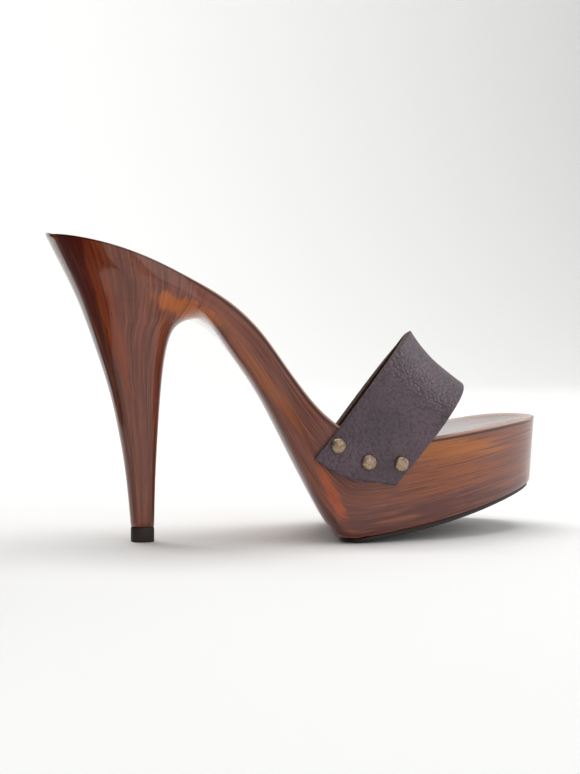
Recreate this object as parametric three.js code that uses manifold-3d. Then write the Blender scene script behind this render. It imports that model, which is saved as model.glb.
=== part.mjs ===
// A high-heeled platform mule: a one-piece wooden body (platform, arch and stiletto heel), a rubber
// outsole and heel lift, and one leather strap nailed to the body's sides with domed nails.
// It is a right shoe: +X points to the toe, +Y to its medial (inner) side, +Z up. Millimetres.
import * as THREE from "three";
import { mergeVertices } from "three/addons/utils/BufferGeometryUtils.js";
import Module from "manifold-3d";

const wasm = await Module();
wasm.setup();

// Sizes of the wooden body
const LENGTH = 215.8; // heel back to toe tip, along the floor
const SEAT_HEIGHT = 124; // floor to the footbed's edge at the heel back
const PLATFORM_HEIGHT = 40.5; // floor to the footbed's edge under the ball
const TOE_RISE = 8.5; // how far the footbed's edge rises from ball to toe
const TOE_SPRING = 20; // floor to the outsole's underside at the toe
const BALL_WIDTH = 80;
const WAIST_WIDTH = 51;
const SEAT_WIDTH = 56;
const BREAK_AT = 122.5; // heel back to the platform's lower back edge
const TOE_SET_BACK = 2; // how far the toe wall leans back at the bottom
const SEAT_ROUND = 29; // length over which the heel seat rounds off, seen from above
const TOE_ROUND = 52; // the same at the toe
const FOOTBED_DISH = 1.6; // depth of the footbed's hollow below its edge
const RIM_ROUND = 1.1; // rounding of the footbed's edge
const WALL_DRAFT = 0.03; // share by which the body narrows from its edge to its underside

// Sizes of the heel's tip and the rubber parts
const HEEL_TIP_AT = 38.5; // heel back to the middle of the heel's tip
const LIFT_LENGTH = 9;
const BREAST_JUT = 0.889; // how far the breast's top stands before the tip's front, share of LIFT_LENGTH
const LIFT_WIDTH = 8.6;
const LIFT_HEIGHT = 6;
const OUTSOLE_THICKNESS = 1.5;
const FLAT_SPOT = 6; // length of the flat spot that the sole stands on, from its lower back edge
const FLAT_EASE = 4; // length over which the underside leaves it
const OUTSOLE_INSET = 0.8; // from the wall's lower edge to the outsole's edge
const OUTSOLE_BACK_ROUND = 14; // length of the corner rounding at the outsole's back
const OUTSOLE_BACK_NARROW = 0.3; // how much narrower its back edge is than the sheet, as a share

// Sizes of the strap and its nails
const STRAP_THICKNESS = 2.8;
const STRAP_LEAN_BACK = 51.2; // degrees from the floor to the band's back edge, seen from the side
const STRAP_LEAN_FRONT = 48; // the same at the front edge
const STRAP_RISE_BACK = 51.4; // from the footbed's edge to the strap's top, along the lean, back edge
const STRAP_RISE_FRONT = 26.2; // the same at the front edge
const STRAP_DROP_BACK = 16.6; // how far the strap's end reaches below the footbed's edge, back edge
const STRAP_DROP_FRONT = 25.5;
const STRAP_END_HOLLOW = 1.4; // how far the strap's end edge is cut in between its corners
const STRAP_END_STAND = 0.2; // how much further its end stands off the wall at the lower edge
const STRAP_LATERAL = { back: 0.512, front: 0.692 }; // where its edges cross the rim, shares of LENGTH
const STRAP_MEDIAL = { back: 0.637, front: 0.818 };
const NAIL_HEAD_WIDTH = 6;
const NAIL_HEAD_HEIGHT = 1.8;
const NAIL_BRIM = 0.5; // height of the head's straight edge
const NAIL_SHANK_WIDTH = 1.8;
const NAIL_LENGTH = 13; // under the head
const FIT_GAP = 0.3; // between pieces that meet

// Where each nail sits on a strap end: across = share from back edge to front edge, down = share from the
// footbed's edge to the strap's end.
const NAILS = [
  { name: "back", across: 0.085, down: 0.429 },
  { name: "middle", across: 0.435, down: 0.533 },
  { name: "front", across: 0.825, down: 0.547 },
];

// Sections of the body from the heel back to the toe. at: the footbed edge's place, as a share of LENGTH.
// rise: its height between platform (0) and seat (1). toe: its share of TOE_RISE. under: where the
// section meets the underside, 0 at the heel's breast, 1 at the platform's lower back edge, 2 at the toe.
// lift: the underside's height as a share of the edge's. spring: its share of TOE_SPRING.
// seat, waist, ball: shares of those three widths. mid: the middle's shift to the medial side, as a
// share of BALL_WIDTH. skew: how far the edge runs forward for each millimetre to the medial side.
// twist: the same at the underside.
// round: the share of the section that the lower rounding takes. flat: the share of its width that stays
// flat underneath.
const BOARD = [
  { at: 0, rise: 1, toe: 0, under: 0, lift: 0.702, spring: 0, seat: 1, waist: 0, ball: 0, mid: 0, skew: 0, twist: 0, round: 0.55, flat: 0.25 },
  { at: 0.0671, rise: 0.96, toe: 0, under: 0.042, lift: 0.737, spring: 0, seat: 1, waist: 0, ball: 0, mid: 0, skew: 0, twist: 0, round: 0.55, flat: 0.3 },
  { at: 0.1229, rise: 0.916, toe: 0, under: 0.084, lift: 0.766, spring: 0, seat: 1, waist: 0, ball: 0, mid: 0, skew: 0, twist: 0.02, round: 0.55, flat: 0.35 },
  { at: 0.1787, rise: 0.862, toe: 0, under: 0.133, lift: 0.798, spring: 0, seat: 0.8, waist: 0.2, ball: 0, mid: 0, skew: 0, twist: 0.08, round: 0.52, flat: 0.4 },
  { at: 0.2385, rise: 0.79, toe: 0, under: 0.188, lift: 0.828, spring: 0, seat: 0.5, waist: 0.5, ball: 0, mid: 0, skew: 0.02, twist: 0.18, round: 0.48, flat: 0.42 },
  { at: 0.2891, rise: 0.728, toe: 0, under: 0.253, lift: 0.83, spring: 0, seat: 0.2, waist: 0.8, ball: 0, mid: 0, skew: 0.04, twist: 0.26, round: 0.44, flat: 0.44 },
  { at: 0.3397, rise: 0.652, toe: 0, under: 0.35, lift: 0.79, spring: 0, seat: 0, waist: 1, ball: 0, mid: 0, skew: 0.07, twist: 0.31, round: 0.42, flat: 0.45 },
  { at: 0.3914, rise: 0.531, toe: 0, under: 0.482, lift: 0.742, spring: 0, seat: 0, waist: 0.97, ball: 0.03, mid: 0, skew: 0.1, twist: 0.335, round: 0.42, flat: 0.46 },
  { at: 0.4316, rise: 0.386, toe: 0, under: 0.594, lift: 0.672, spring: 0, seat: 0, waist: 0.86, ball: 0.14, mid: 0, skew: 0.12, twist: 0.345, round: 0.42, flat: 0.46 },
  { at: 0.4729, rise: 0.245, toe: 0, under: 0.692, lift: 0.578, spring: 0, seat: 0, waist: 0.65, ball: 0.35, mid: 0, skew: 0.14, twist: 0.35, round: 0.42, flat: 0.46 },
  { at: 0.5029, rise: 0.156, toe: 0, under: 0.772, lift: 0.459, spring: 0, seat: 0, waist: 0.48, ball: 0.52, mid: 0, skew: 0.15, twist: 0.35, round: 0.4, flat: 0.48 },
  { at: 0.5328, rise: 0.093, toe: 0, under: 0.854, lift: 0.285, spring: 0, seat: 0, waist: 0.34, ball: 0.66, mid: 0, skew: 0.16, twist: 0.35, round: 0.34, flat: 0.5 },
  { at: 0.556, rise: 0.052, toe: 0, under: 0.924, lift: 0.125, spring: 0, seat: 0, waist: 0.24, ball: 0.76, mid: 0, skew: 0.16, twist: 0.34, round: 0.25, flat: 0.58 },
  { at: 0.58, rise: 0.025, toe: 0, under: 0.975, lift: 0.035, spring: 0, seat: 0, waist: 0.14, ball: 0.86, mid: 0, skew: 0.17, twist: 0.33, round: 0.15, flat: 0.7 },
  { at: 0.604, rise: 0.008, toe: 0, under: 1.027, lift: 0.005, spring: 0, seat: 0, waist: 0.07, ball: 0.93, mid: 0, skew: 0.17, twist: 0.32, round: 0.08, flat: 0.82 },
  { at: 0.628, rise: 0, toe: 0, under: 1.08, lift: -0.002, spring: 0.016, seat: 0, waist: 0.02, ball: 0.98, mid: 0.002, skew: 0.18, twist: 0.31, round: 0.06, flat: 0.9 },
  { at: 0.655, rise: 0, toe: 0.02, under: 1.14, lift: 0, spring: 0.05, seat: 0, waist: 0, ball: 1.005, mid: 0.005, skew: 0.22, twist: 0.31, round: 0.055, flat: 0.95 },
  { at: 0.705, rise: 0, toe: 0.1, under: 1.28, lift: 0, spring: 0.135, seat: 0, waist: 0, ball: 1.01, mid: 0.012, skew: 0.28, twist: 0.31, round: 0.05, flat: 0.965 },
  { at: 0.778, rise: 0, toe: 0.286, under: 1.467, lift: 0, spring: 0.28, seat: 0, waist: 0, ball: 1, mid: 0.02, skew: 0.31, twist: 0.31, round: 0.05, flat: 0.97 },
  { at: 0.855, rise: 0, toe: 0.535, under: 1.662, lift: 0, spring: 0.49, seat: 0, waist: 0, ball: 0.957, mid: 0.034, skew: 0.28, twist: 0.28, round: 0.05, flat: 0.97 },
  { at: 0.933, rise: 0, toe: 0.825, under: 1.85, lift: 0, spring: 0.755, seat: 0, waist: 0, ball: 0.9, mid: 0.05, skew: 0.18, twist: 0.18, round: 0.05, flat: 0.97 },
  { at: 1, rise: 0, toe: 1, under: 2, lift: 0, spring: 0.99, seat: 0, waist: 0, ball: 0.85, mid: 0.055, skew: 0, twist: 0, round: 0.05, flat: 0.97 },
];

// Sections of the heel below its back corner, down to the tip. back, breast: heights of the section's two
// ends as shares of the height from the lift to the seat. sweep: how far the back edge lies behind the
// tip's, as a share of the room there. jut: how far the breast stands before the tip's, as a share of
// LIFT_LENGTH. wide: half width between the lift's (0) and the seat's (1). reach: the length over which
// the section rounds off at the back, as a share of SEAT_ROUND. round and flat as above.
const STEM = [
  { back: 0.89, breast: 0.669, sweep: 0.808, jut: 0.68, wide: 0.78, reach: 0.85, round: 0.54, flat: 0.25 },
  { back: 0.801, breast: 0.631, sweep: 0.652, jut: 0.52, wide: 0.661, reach: 0.72, round: 0.53, flat: 0.25 },
  { back: 0.712, breast: 0.581, sweep: 0.53, jut: 0.41, wide: 0.525, reach: 0.6, round: 0.52, flat: 0.25 },
  { back: 0.623, breast: 0.525, sweep: 0.424, jut: 0.33, wide: 0.4025, reach: 0.5, round: 0.51, flat: 0.26 },
  { back: 0.542, breast: 0.47, sweep: 0.328, jut: 0.28, wide: 0.3, reach: 0.42, round: 0.5, flat: 0.28 },
  { back: 0.445, breast: 0.4025, sweep: 0.226, jut: 0.22, wide: 0.2076, reach: 0.34, round: 0.49, flat: 0.3 },
  { back: 0.347, breast: 0.3246, sweep: 0.155, jut: 0.165, wide: 0.131, reach: 0.28, round: 0.48, flat: 0.33 },
  { back: 0.229, breast: 0.22, sweep: 0.08, jut: 0.09, wide: 0.072, reach: 0.23, round: 0.46, flat: 0.38 },
  { back: 0.119, breast: 0.115, sweep: 0.035, jut: 0.035, wide: 0.0254, reach: 0.2, round: 0.44, flat: 0.44 },
  { back: 0, breast: 0, sweep: 0, jut: 0, wide: 0, reach: 0.18, round: 0.42, flat: 0.5 },
];

// Fineness of the faceted surfaces
const BOARD_STATIONS = 56;
const STEM_STATIONS = 15;
const WALL_STEPS = 6; // from the rim to the widest line
const ROUND_STEPS = 7; // from there to the flat underneath
const FLAT_STEPS = 4;
const FOOTBED_STEPS = 8;
const SOLE_STATIONS = 30;
const STRAP_STEPS_ACROSS = 10;
const STRAP_STEPS_ARCH = 26;
const STRAP_STEPS_END = 5;
const NAIL_SIDES = 16;

const EDGE_POWER = 2.2; // superellipse power of the body's roundings
const STRAP_POWER = 2.55; // superellipse power of the strap's arch

// A section in millimetres: the footbed edge's middle (ox, oz), the underside's middle (ix, iz) and widths.
function boardSection(row) {
  const breastTop = HEEL_TIP_AT + LIFT_LENGTH / 2 + BREAST_JUT * LIFT_LENGTH;
  const floor = OUTSOLE_THICKNESS + FIT_GAP;
  const toeBottom = LENGTH - TOE_SET_BACK;
  const oz = PLATFORM_HEIGHT + row.rise * (SEAT_HEIGHT - PLATFORM_HEIGHT) + row.toe * TOE_RISE;
  const half = (row.seat * SEAT_WIDTH + row.waist * WAIST_WIDTH + row.ball * BALL_WIDTH) / 2;
  return {
    ox: row.at * LENGTH,
    oz,
    ix:
      row.under < 1
        ? breastTop + row.under * (BREAK_AT - breastTop)
        : BREAK_AT + (row.under - 1) * (toeBottom - BREAK_AT),
    iz: floor + row.spring * TOE_SPRING + row.lift * (oz - floor),
    half,
    mid: row.mid * BALL_WIDTH,
    skew: row.skew,
    twist: row.twist,
    round: row.round,
    flat: row.flat,
    reach: SEAT_ROUND,
  };
}

function stemSection(row) {
  const base = LIFT_HEIGHT + FIT_GAP;
  const height = SEAT_HEIGHT - base;
  const half = (LIFT_WIDTH + row.wide * (SEAT_WIDTH - LIFT_WIDTH)) / 2;
  return {
    ox: (HEEL_TIP_AT - LIFT_LENGTH / 2) * (1 - row.sweep),
    oz: base + row.back * height,
    ix: HEEL_TIP_AT + (0.5 + row.jut) * LIFT_LENGTH,
    iz: base + row.breast * height,
    half,
    mid: 0,
    skew: 0,
    twist: 0,
    round: row.round,
    flat: row.flat,
    reach: row.reach * SEAT_ROUND,
  };
}

// One list from the toe (0) over the heel's back corner (CORNER) to the tip of the heel (LAST).
const SECTIONS = [...BOARD.map(boardSection).reverse(), ...STEM.map(stemSection)];
const CORNER = BOARD.length - 1;
const LAST = SECTIONS.length - 1;

// The value of a column at a place s along the list, by a uniform cubic B-spline. A sharp one passes
// through its value at the heel's back corner and turns there.
function column(name, s, sharp = false) {
  const i = Math.min(Math.floor(s), LAST - 1);
  const f = s - i;
  const first = sharp && i >= CORNER ? CORNER : 0;
  const last = sharp && i < CORNER ? CORNER : LAST;
  const value = (k) => {
    if (k < first) return 2 * SECTIONS[first][name] - SECTIONS[2 * first - k][name];
    if (k > last) return 2 * SECTIONS[last][name] - SECTIONS[2 * last - k][name];
    return SECTIONS[k][name];
  };
  const weights = [
    (1 - f) ** 3,
    3 * f ** 3 - 6 * f ** 2 + 4,
    -3 * f ** 3 + 3 * f ** 2 + 3 * f + 1,
    f ** 3,
  ];
  return weights.reduce((sum, w, k) => sum + (w * value(i - 1 + k)) / 6, 0);
}

// How an outline rounds off near its end: 0 at the end, 1 from reach onward.
function roundOff(distance, reach) {
  const u = 1 - THREE.MathUtils.clamp(distance / reach, 0, 1);
  return (1 - u ** EDGE_POWER) ** (1 / EDGE_POWER);
}

// The heel's back edge from the seat down: at each height, its place and its rounding.
const BACK_EDGE = [];
for (let k = 0; k <= 200; k++) {
  const s = CORNER + ((LAST - CORNER) * k) / 200;
  BACK_EDGE.push({ z: column("oz", s, true), x: column("ox", s, true), reach: column("reach", s) });
}

// How the body narrows toward the heel's back edge at a place of the side view: 0 on the edge.
function heelRound(x, z) {
  const k = BACK_EDGE.findIndex((p) => p.z <= z);
  if (k === 0) return roundOff(x - BACK_EDGE[0].x, BACK_EDGE[0].reach);
  const low = BACK_EDGE[k < 0 ? 200 : k];
  const high = BACK_EDGE[k < 0 ? 200 : k - 1];
  const f = k < 0 ? 0 : (z - low.z) / (high.z - low.z);
  return roundOff(x - THREE.MathUtils.lerp(low.x, high.x, f), THREE.MathUtils.lerp(low.reach, high.reach, f));
}

function section(s) {
  const v = {};
  for (const name of Object.keys(SECTIONS[0])) v[name] = column(name, s);
  v.turnX = column("ox", s, true) - v.ox;
  v.turnZ = column("oz", s, true) - v.oz;
  v.edge = v.half * roundOff(LENGTH - v.ox, TOE_ROUND);
  if (s < CORNER) {
    const floor = OUTSOLE_THICKNESS + FIT_GAP;
    const off = Math.max(BREAK_AT - v.ix, v.ix - BREAK_AT - FLAT_SPOT);
    v.iz = floor + Math.max(0, v.iz - floor) * THREE.MathUtils.smoothstep(off, 0, FLAT_EASE);
  }
  return v;
}

// A point of a section: t runs from the underside (0) to the footbed's edge (1), y from the middle. The
// sharp turn at the heel's back corner only shows near the edge.
function sectionPoint(v, t, y, lift = 0) {
  const near = t ** 4;
  return new THREE.Vector3(
    THREE.MathUtils.lerp(v.ix + v.twist * y, v.ox + v.skew * y, t) + near * v.turnX,
    v.mid + y,
    THREE.MathUtils.lerp(v.iz, v.oz, t) + near * v.turnZ + lift,
  );
}

// Half width of a section at t.
function widthAt(v, t) {
  const u = 1 - Math.min(1, t / v.round);
  const low = v.flat + (1 - v.flat) * (1 - u ** EDGE_POWER) ** (1 / EDGE_POWER);
  const p = sectionPoint(v, t, 0);
  return v.edge * low * (1 - WALL_DRAFT * (1 - t)) * heelRound(p.x, p.z);
}

// The closed outline of a section, lateral rim first, down round the underside, back over the footbed.
function sectionLoop(v) {
  const depth = Math.hypot(v.ox - v.ix, v.oz - v.iz);
  const edge = widthAt(v, 1);
  const rim = Math.min(RIM_ROUND, edge / 2);
  const side = [[1, edge - rim]];
  side.push([1 - (0.3 * rim) / depth, edge - 0.3 * rim]);
  const top = 1 - rim / depth;
  for (let k = 0; k <= WALL_STEPS; k++) {
    const t = v.round + (top - v.round) * Math.cos((k / WALL_STEPS) * (Math.PI / 2));
    side.push([t, widthAt(v, t)]);
  }
  for (let k = 1; k <= ROUND_STEPS; k++) {
    const t = v.round * (1 - Math.sin((k / ROUND_STEPS) * (Math.PI / 2)) ** (2 / EDGE_POWER));
    side.push([t, widthAt(v, t)]);
  }
  const under = side[side.length - 1][1];
  const loop = side.map(([t, y]) => sectionPoint(v, t, -y));
  for (let k = 1; k < FLAT_STEPS; k++) {
    loop.push(sectionPoint(v, 0, under * ((2 * k) / FLAT_STEPS - 1)));
  }
  loop.push(...side.map(([t, y]) => sectionPoint(v, t, y)).reverse());
  for (let k = 1; k < FOOTBED_STEPS; k++) {
    const share = 1 - (2 * k) / FOOTBED_STEPS;
    const dish = FOOTBED_DISH * (1 - share ** 2) * Math.min(1, edge / (SEAT_WIDTH / 2));
    loop.push(sectionPoint(v, 1, share * (edge - rim), -dish));
  }
  return loop;
}

// Stations from one place to another, evenly spaced along the plan outline's edge.
function stations(from, to, count) {
  const fine = 1200;
  const places = [];
  let length = 0;
  let last = null;
  for (let k = 0; k <= fine; k++) {
    const s = from + ((to - from) * k) / fine;
    const v = section(s);
    const here = sectionPoint(v, 1, widthAt(v, 1));
    if (last) length += here.distanceTo(last);
    places.push({ s, length });
    last = here;
  }
  const found = [];
  for (let k = 0; k <= count; k++) {
    const want = (length * k) / count;
    found.push(places.find((p) => p.length >= want - 1e-9).s);
  }
  found[count] = to;
  return found;
}

// A closed surface through loops of equal length, with its open ends capped.
function loft(loops) {
  const count = loops[0].length;
  const positions = [];
  for (const loop of loops) for (const p of loop) positions.push(p.x, p.y, p.z);
  const index = [];
  for (let i = 0; i + 1 < loops.length; i++) {
    for (let j = 0; j < count; j++) {
      const a = i * count + j;
      const b = i * count + ((j + 1) % count);
      index.push(a, b, b + count, a, b + count, a + count);
    }
  }
  for (const [at, flip] of [
    [0, true],
    [loops.length - 1, false],
  ]) {
    const centre = loops[at].reduce((sum, p) => sum.add(p), new THREE.Vector3()).divideScalar(count);
    const hub = positions.length / 3;
    positions.push(centre.x, centre.y, centre.z);
    for (let j = 0; j < count; j++) {
      const a = at * count + j;
      const b = at * count + ((j + 1) % count);
      index.push(...(flip ? [hub, b, a] : [hub, a, b]));
    }
  }
  const geometry = new THREE.BufferGeometry();
  geometry.setAttribute("position", new THREE.Float32BufferAttribute(positions, 3));
  geometry.setIndex(index);
  return geometry;
}

// Booleans: a closed geometry becomes a solid, and a solid becomes a geometry again.
function solid(geometry) {
  const bare = geometry.clone();
  bare.deleteAttribute("normal");
  bare.deleteAttribute("uv");
  const merged = mergeVertices(bare, 1e-4);
  const kept = [];
  const source = merged.index.array;
  for (let i = 0; i < source.length; i += 3) {
    const [a, b, c] = source.slice(i, i + 3);
    if (a !== b && b !== c && a !== c) kept.push(a, b, c);
  }
  const make = (triVerts) =>
    new wasm.Manifold(
      new wasm.Mesh({ numProp: 3, vertProperties: merged.attributes.position.array, triVerts }),
    );
  const made = make(new Uint32Array(kept));
  return made.volume() > 0 ? made : make(new Uint32Array(kept.reverse()));
}

function geometryOf(made) {
  const mesh = made.getMesh();
  const geometry = new THREE.BufferGeometry();
  geometry.setAttribute("position", new THREE.Float32BufferAttribute(mesh.vertProperties, 3));
  geometry.setIndex(new THREE.Uint32BufferAttribute(mesh.triVerts, 1));
  geometry.computeVertexNormals();
  return geometry;
}

// The place s on the list whose footbed edge lies at x on one side (-1 lateral, +1 medial).
function placeAtEdge(x, side) {
  let near = 0;
  let far = CORNER;
  for (let k = 0; k < 40; k++) {
    const s = (near + far) / 2;
    const v = section(s);
    if (v.ox + v.skew * side * v.edge > x) near = s;
    else far = s;
  }
  return (near + far) / 2;
}

// The side wall's point at a given x and z, with the lower rounding left out, so that a flat strap end
// stands off where the wood rounds away.
function wallPoint(x, z, side) {
  let s = placeAtEdge(x, side);
  let t = 1;
  for (let k = 0; k < 30; k++) {
    const v = section(s);
    const y = side * v.edge * (1 - WALL_DRAFT * (1 - t));
    t = (z - v.iz) / (v.oz - v.iz);
    const p = sectionPoint(v, t, y);
    s += THREE.MathUtils.clamp((p.x - x) / 16, -0.5, 0.5);
  }
  const v = section(s);
  return sectionPoint(v, t, side * v.edge * (1 - WALL_DRAFT * (1 - t)));
}

// How far the strap's end reaches below the footbed's edge, along the lean.
function endDrop(across) {
  const straight = THREE.MathUtils.lerp(STRAP_DROP_BACK, STRAP_DROP_FRONT, across);
  return straight - 4 * STRAP_END_HOLLOW * across * (1 - across);
}

// The strap's middle surface. across runs from its back edge (0) to its front edge (1). along runs from
// the lateral end (-1) over the rim (0), the arch and the medial rim (1) to the medial end (2).
function strapMiddle(across, along) {
  const angle = THREE.MathUtils.degToRad(THREE.MathUtils.lerp(STRAP_LEAN_BACK, STRAP_LEAN_FRONT, across));
  const lean = new THREE.Vector3(Math.cos(angle), 0, Math.sin(angle));
  const stand = FIT_GAP + STRAP_THICKNESS / 2;
  const rimPoint = (side) => {
    const range = side < 0 ? STRAP_LATERAL : STRAP_MEDIAL;
    const x = LENGTH * THREE.MathUtils.lerp(range.back, range.front, across);
    const v = section(placeAtEdge(x, side));
    return sectionPoint(v, 1, side * v.edge);
  };
  const side = along < 0.5 ? -1 : 1;
  const down = Math.max(-along, along - 1);
  if (down > 0) {
    const want = rimPoint(side).addScaledVector(lean, -endDrop(across) * down);
    const wall = wallPoint(want.x, want.z, side);
    wall.y += side * (stand + STRAP_END_STAND * down);
    return wall;
  }
  const lateral = rimPoint(-1);
  const medial = rimPoint(1);
  lateral.y -= stand;
  medial.y += stand;
  const middle = lateral.clone().add(medial).divideScalar(2);
  const reach = medial.clone().sub(lateral).divideScalar(2);
  const round = Math.PI * along;
  const over = Math.abs(Math.cos(round)) ** (2 / STRAP_POWER) * Math.sign(Math.cos(round));
  const up = Math.sin(round) ** (2 / STRAP_POWER);
  const rise = THREE.MathUtils.lerp(STRAP_RISE_BACK, STRAP_RISE_FRONT, across);
  return middle.addScaledVector(reach, -over).addScaledVector(lean, rise * up);
}

// The strap's outward direction at a place on it.
function strapNormal(across, along) {
  const step = 0.01;
  const low = Math.max(0, across - step);
  const high = Math.min(1, across + step);
  const before = Math.max(-1, along - step);
  const after = Math.min(2, along + step);
  const u = strapMiddle(high, along).sub(strapMiddle(low, along));
  const w = strapMiddle(across, after).sub(strapMiddle(across, before));
  return w.cross(u).normalize().negate();
}

function woodBody() {
  const places = [
    ...stations(0, CORNER, BOARD_STATIONS),
    ...stations(CORNER, LAST, STEM_STATIONS).slice(1),
  ];
  return solid(loft(places.map((s) => sectionLoop(section(s)))));
}

// The rubber sheet under the platform follows the wood's underside, a little way in from its outline.
function outsole() {
  const back = BREAK_AT + OUTSOLE_INSET;
  const flat = BREAK_AT + FLAT_SPOT;
  const toe = LENGTH - TOE_SET_BACK - OUTSOLE_INSET;
  const places = [back, back + 1, (back + flat) / 2];
  for (let k = 0; k <= SOLE_STATIONS; k++) {
    places.push(flat + (toe - flat) * Math.sin((k / SOLE_STATIONS) * (Math.PI / 2)));
  }
  const loops = [];
  for (const x of places) {
    const v = section(placeAtUnderside(x));
    const u = 1 - THREE.MathUtils.clamp((x - back) / OUTSOLE_BACK_ROUND, 0, 1);
    const corner = 1 - OUTSOLE_BACK_NARROW * (1 - Math.sqrt(1 - u * u));
    const wide = v.half * (1 - WALL_DRAFT) - OUTSOLE_INSET;
    const y = wide * corner * roundOff(toe - x, TOE_ROUND - OUTSOLE_INSET);
    const loop = [];
    for (let j = 0; j <= FLAT_STEPS; j++) {
      loop.push(sectionPoint(v, 0, y * ((2 * j) / FLAT_STEPS - 1), -FIT_GAP));
    }
    for (let j = FLAT_STEPS; j >= 0; j--) {
      loop.push(sectionPoint(v, 0, y * ((2 * j) / FLAT_STEPS - 1), -FIT_GAP - OUTSOLE_THICKNESS));
    }
    loops.push(loop);
  }
  return solid(loft(loops));
}

// The place s whose section meets the underside at x.
function placeAtUnderside(x) {
  let near = 0;
  let far = CORNER;
  for (let k = 0; k < 40; k++) {
    const s = (near + far) / 2;
    if (section(s).ix > x) near = s;
    else far = s;
  }
  return (near + far) / 2;
}

// The heel's rubber lift carries on the section of the heel's tip down to the floor.
function heelLift() {
  const tip = sectionLoop(section(LAST));
  const at = (z) => tip.map((p) => new THREE.Vector3(p.x, p.y, z));
  return solid(loft([at(LIFT_HEIGHT), at(0)]));
}

function strap() {
  const places = [];
  for (let k = STRAP_STEPS_END; k > 0; k--) places.push(-k / STRAP_STEPS_END);
  for (let k = 0; k <= STRAP_STEPS_ARCH; k++) places.push(k / STRAP_STEPS_ARCH);
  for (let k = 1; k <= STRAP_STEPS_END; k++) places.push(1 + k / STRAP_STEPS_END);
  const loops = places.map((along) => {
    const outer = [];
    const inner = [];
    for (let k = 0; k <= STRAP_STEPS_ACROSS; k++) {
      const across = k / STRAP_STEPS_ACROSS;
      const middle = strapMiddle(across, along);
      const normal = strapNormal(across, along).multiplyScalar(STRAP_THICKNESS / 2);
      outer.push(middle.clone().add(normal));
      inner.push(middle.clone().sub(normal));
    }
    return [...outer, ...inner.reverse()];
  });
  return solid(loft(loops));
}

// A domed nail along +Y at the origin: its head's underside lies at y = 0 and its shank points to -Y.
function nail() {
  const head = NAIL_HEAD_WIDTH / 2;
  const shank = NAIL_SHANK_WIDTH / 2;
  const profile = [new THREE.Vector2(0, -NAIL_LENGTH)];
  profile.push(new THREE.Vector2(shank, -NAIL_LENGTH + 2 * shank));
  profile.push(new THREE.Vector2(shank, 0));
  profile.push(new THREE.Vector2(head, 0));
  for (let k = 0; k < 5; k++) {
    const a = (k / 5) * (Math.PI / 2);
    const y = NAIL_BRIM + (NAIL_HEAD_HEIGHT - NAIL_BRIM) * Math.sin(a);
    profile.push(new THREE.Vector2(head * Math.cos(a), y));
  }
  profile.push(new THREE.Vector2(0, NAIL_HEAD_HEIGHT));
  return new THREE.LatheGeometry(profile, NAIL_SIDES);
}

// The turn and place that bring a part made along +Y to a nail's seat on the strap.
function nailMatrix(spot, side) {
  const along = side < 0 ? -spot.down : 1 + spot.down;
  const normal = strapNormal(spot.across, along);
  const seat = strapMiddle(spot.across, along);
  seat.addScaledVector(normal, STRAP_THICKNESS / 2 + FIT_GAP);
  const turn = new THREE.Quaternion().setFromUnitVectors(new THREE.Vector3(0, 1, 0), normal);
  return new THREE.Matrix4().compose(seat, turn, new THREE.Vector3(1, 1, 1));
}

const wood = new THREE.MeshStandardMaterial({ color: 0x7a3b26, roughness: 0.25, metalness: 0 });
const leather = new THREE.MeshStandardMaterial({ color: 0x3b2c30, roughness: 0.6, metalness: 0 });
const rubber = new THREE.MeshStandardMaterial({ color: 0x3a2b28, roughness: 0.75, metalness: 0 });
const brass = new THREE.MeshStandardMaterial({ color: 0x9a7a55, roughness: 0.4, metalness: 0.9 });

const holeRadius = NAIL_SHANK_WIDTH / 2 + FIT_GAP;
const holeLength = 2 * (NAIL_LENGTH + FIT_GAP);
let body = woodBody();
let band = strap();
const shoe = new THREE.Group();

for (const [sideName, side] of [
  ["lateral", -1],
  ["medial", 1],
]) {
  for (const spot of NAILS) {
    const matrix = nailMatrix(spot, side);
    const hole = new THREE.CylinderGeometry(holeRadius, holeRadius, holeLength, NAIL_SIDES);
    const cutter = solid(hole.applyMatrix4(matrix));
    body = body.subtract(cutter);
    band = band.subtract(cutter);
    const mesh = new THREE.Mesh(nail(), brass);
    mesh.name = `nail_${sideName}_${spot.name}`;
    mesh.applyMatrix4(matrix);
    shoe.add(mesh);
  }
}

for (const [name, made, material] of [
  ["wood_body", body, wood],
  ["outsole", outsole(), rubber],
  ["heel_lift", heelLift(), rubber],
  ["strap", band, leather],
]) {
  const mesh = new THREE.Mesh(geometryOf(made), material);
  mesh.name = name;
  shoe.add(mesh);
}

// The origin is under the middle of the shoe's box, on the floor.
const box = new THREE.Box3().setFromObject(shoe, true);
const centre = box.getCenter(new THREE.Vector3());
shoe.position.set(-centre.x, -centre.y, -box.min.z);

export default shoe;
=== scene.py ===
# A high-heeled wooden mule, right shoe: one carved and lacquered body, a rubber outsole and heel lift,
# and one leather strap nailed to the body's sides. Metres, +X to the toe, +Y to the inner side, +Z up.
import math

import bmesh
import bpy
import numpy as np
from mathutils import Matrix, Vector, noise


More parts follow.
